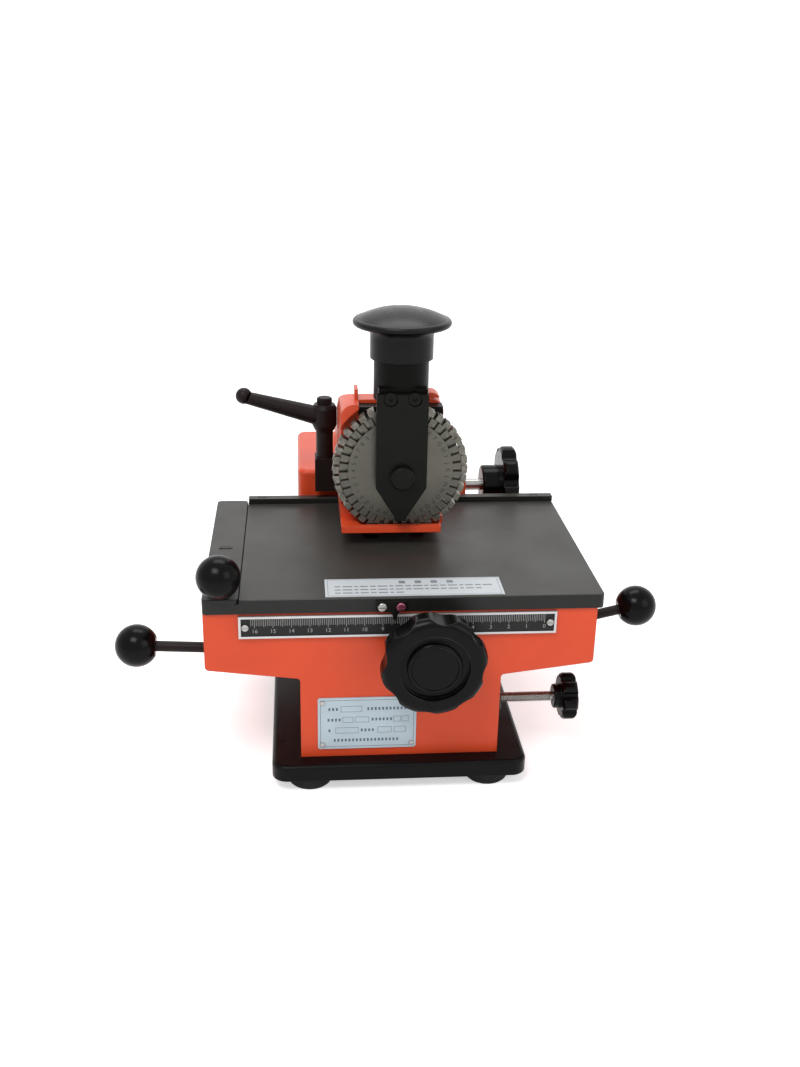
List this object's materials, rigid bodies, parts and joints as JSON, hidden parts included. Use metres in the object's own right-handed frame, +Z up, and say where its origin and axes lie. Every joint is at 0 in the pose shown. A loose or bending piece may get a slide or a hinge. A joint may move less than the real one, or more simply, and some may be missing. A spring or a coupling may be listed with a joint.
{
  "type": "metal tag embossing machine",
  "caption": "Hand-operated bench machine that embosses metal identity tags: type wheel under a palm plunger, sliding table with ruler, ball levers and a hand wheel.",
  "frame": {"origin": "middle of the machine's box in X and Y, on the bench under the rubber feet", "axes": "+X to the right as seen from the hand wheel, +Y from the hand wheel towards the back pedestal, +Z up"},
  "size_m": [0.314, 0.29, 0.26],
  "materials": {
    "orange_paint": "glossy enamel",
    "black_enamel": "satin enamel",
    "table_grey": "satin, slightly worn",
    "black_plastic": "polished phenolic",
    "rubber": "matte",
    "steel": "turned",
    "wheel_steel": "ground, slightly dull",
    "punch_steel": "polished heads",
    "dark_steel": "blackened",
    "cast_iron": "machined",
    "bronze": "turned",
    "bezel": "brushed",
    "plate": "satin anodised",
    "label": "satin film"
  },
  "bodies": {
    "stand": {"feet": "rubber", "foot_screws": "steel", "base_plate": "black_enamel", "body_screws": "dark_steel", "frame": "orange_paint", "ruler_bezel": "bezel", "ruler_scale": "black_enamel", "ruler_screws": "steel", "rating_plate": "plate", "plate_rivets": "steel", "guide_rods": "steel", "screw_bush": "bronze", "lever_pins": "steel", "spacing_boss": "dark_steel"},
    "cross_slide": {"saddle": "cast_iron", "saddle_bushes": "bronze", "ratchet_rack": "steel"},
    "feed_wheel": {"hand_wheel": "black_plastic", "wheel_cap": "black_plastic", "feed_screw": "steel", "thrust_collars": "dark_steel"},
    "table": {"table_plate": "table_grey", "table_slide": "cast_iron", "table_screws": "dark_steel", "clamp_strip": "dark_steel", "strip_screws": "dark_steel", "back_rail": "table_grey", "rail_screws": "dark_steel", "pointer": "dark_steel", "pointer_screws": "steel", "label": "label"},
    "clamp": {"clamp_lever": "dark_steel", "clamp_ball": "black_plastic"},
    "pawl": {"feed_pawl": "steel"},
    "feed_handle": {"feed_lever": "dark_steel", "feed_ball": "black_plastic"},
    "release_handle": {"release_lever": "dark_steel", "release_ball": "black_plastic"},
    "spacing_adjuster": {"spacing_screw": "steel", "spacing_knob": "black_plastic"},
    "spacing_stop": {"spacing_nut": "cast_iron"},
    "head": {"head_arm": "orange_paint", "head_block": "black_enamel", "block_screws": "dark_steel", "plunger_guide": "black_enamel", "guide_screws": "dark_steel", "axle_bracket": "black_enamel", "bracket_screws": "dark_steel", "wheel_axle": "dark_steel", "lock_block": "dark_steel", "return_spring": "steel"},
    "lock_handle": {"lock_lever": "dark_steel"},
    "height_adjuster": {"height_shaft": "steel", "height_knob": "black_plastic"},
    "wheel": {"type_wheel": "wheel_steel", "type_punches": "punch_steel", "dial_plate": "wheel_steel"},
    "struck_punch": {"active_punch": "punch_steel"},
    "plunger": {"palm_cap": "black_plastic", "hammer": "steel"}
  },
  "joints": [
    {"name": "line_feed", "type": "slide", "parent": "stand", "child": "cross_slide", "axis": [0, 1, 0], "range_m": [-0.05, 0]},
    {"name": "feed_wheel_turn", "type": "hinge", "parent": "cross_slide", "child": "feed_wheel", "pos_m": [0.01757, -0.117, 0.0875], "axis": [0, 1, 0], "continuous": true},
    {"name": "table_travel", "type": "slide", "parent": "cross_slide", "child": "table", "axis": [1, 0, 0], "range_m": [-0.075, 0.075]},
    {"name": "clamp_turn", "type": "hinge", "parent": "table", "child": "clamp", "pos_m": [-0.09758, -0.09, 0.122], "axis": [0, 0, 1], "range_deg": [-60, 60]},
    {"name": "pawl_lift", "type": "hinge", "parent": "table", "child": "pawl", "pos_m": [0.00357, -0.052, 0.1078], "axis": [0, 1, 0], "range_deg": [0, 6]},
    {"name": "feed_handle_press", "type": "hinge", "parent": "stand", "child": "feed_handle", "pos_m": [-0.10293, -0.103, 0.082], "axis": [0, -1, 0], "range_deg": [0, 10]},
    {"name": "release_handle_press", "type": "hinge", "parent": "stand", "child": "release_handle", "pos_m": [0.10707, -0.077, 0.082], "axis": [0, 1, 0], "range_deg": [0, 12]},
    {"name": "spacing_turn", "type": "hinge", "parent": "stand", "child": "spacing_adjuster", "pos_m": [0.06207, -0.097, 0.0422], "axis": [1, 0, 0], "continuous": true},
    {"name": "spacing_stop_travel", "type": "slide", "parent": "stand", "child": "spacing_stop", "axis": [1, 0, 0], "range_m": [-0.005, 0.006]},
    {"name": "head_height", "type": "slide", "parent": "stand", "child": "head", "axis": [0, 0, 1], "range_m": [0, 0.0015]},
    {"name": "lock_turn", "type": "hinge", "parent": "head", "child": "lock_handle", "pos_m": [-0.03703, 0.0345, 0.175], "axis": [0, 0, 1], "range_deg": [-60, 60]},
    {"name": "height_turn", "type": "hinge", "parent": "stand", "child": "height_adjuster", "pos_m": [0.00207, 0.067, 0.117], "axis": [1, 0, 0], "range_deg": [0, 90]},
    {"name": "type_select", "type": "hinge", "parent": "head", "child": "wheel", "pos_m": [0.00597, -0.037, 0.165], "axis": [0, 1, 0], "continuous": true},
    {"name": "punch_strike", "type": "slide", "parent": "wheel", "child": "struck_punch", "axis": [0, 0, -1], "range_m": [0, 0.006]},
    {"name": "palm_press", "type": "slide", "parent": "head", "child": "plunger", "axis": [0, 0, -1], "range_m": [0, 0.012], "stiffness_N_per_m": 900, "springref_m": -0.009, "deforming": ["return_spring"]}
  ],
  "couplings": [
    {"joint": "feed_wheel_turn", "follows": "line_feed", "rad_per_m": 1256.6},
    {"joint": "spacing_turn", "follows": "spacing_stop_travel", "rad_per_m": 6283.2},
    {"joint": "height_turn", "follows": "head_height", "rad_per_m": 1047.2},
    {"joint": "punch_strike", "follows": "palm_press", "ratio": 0.5}
  ]
}
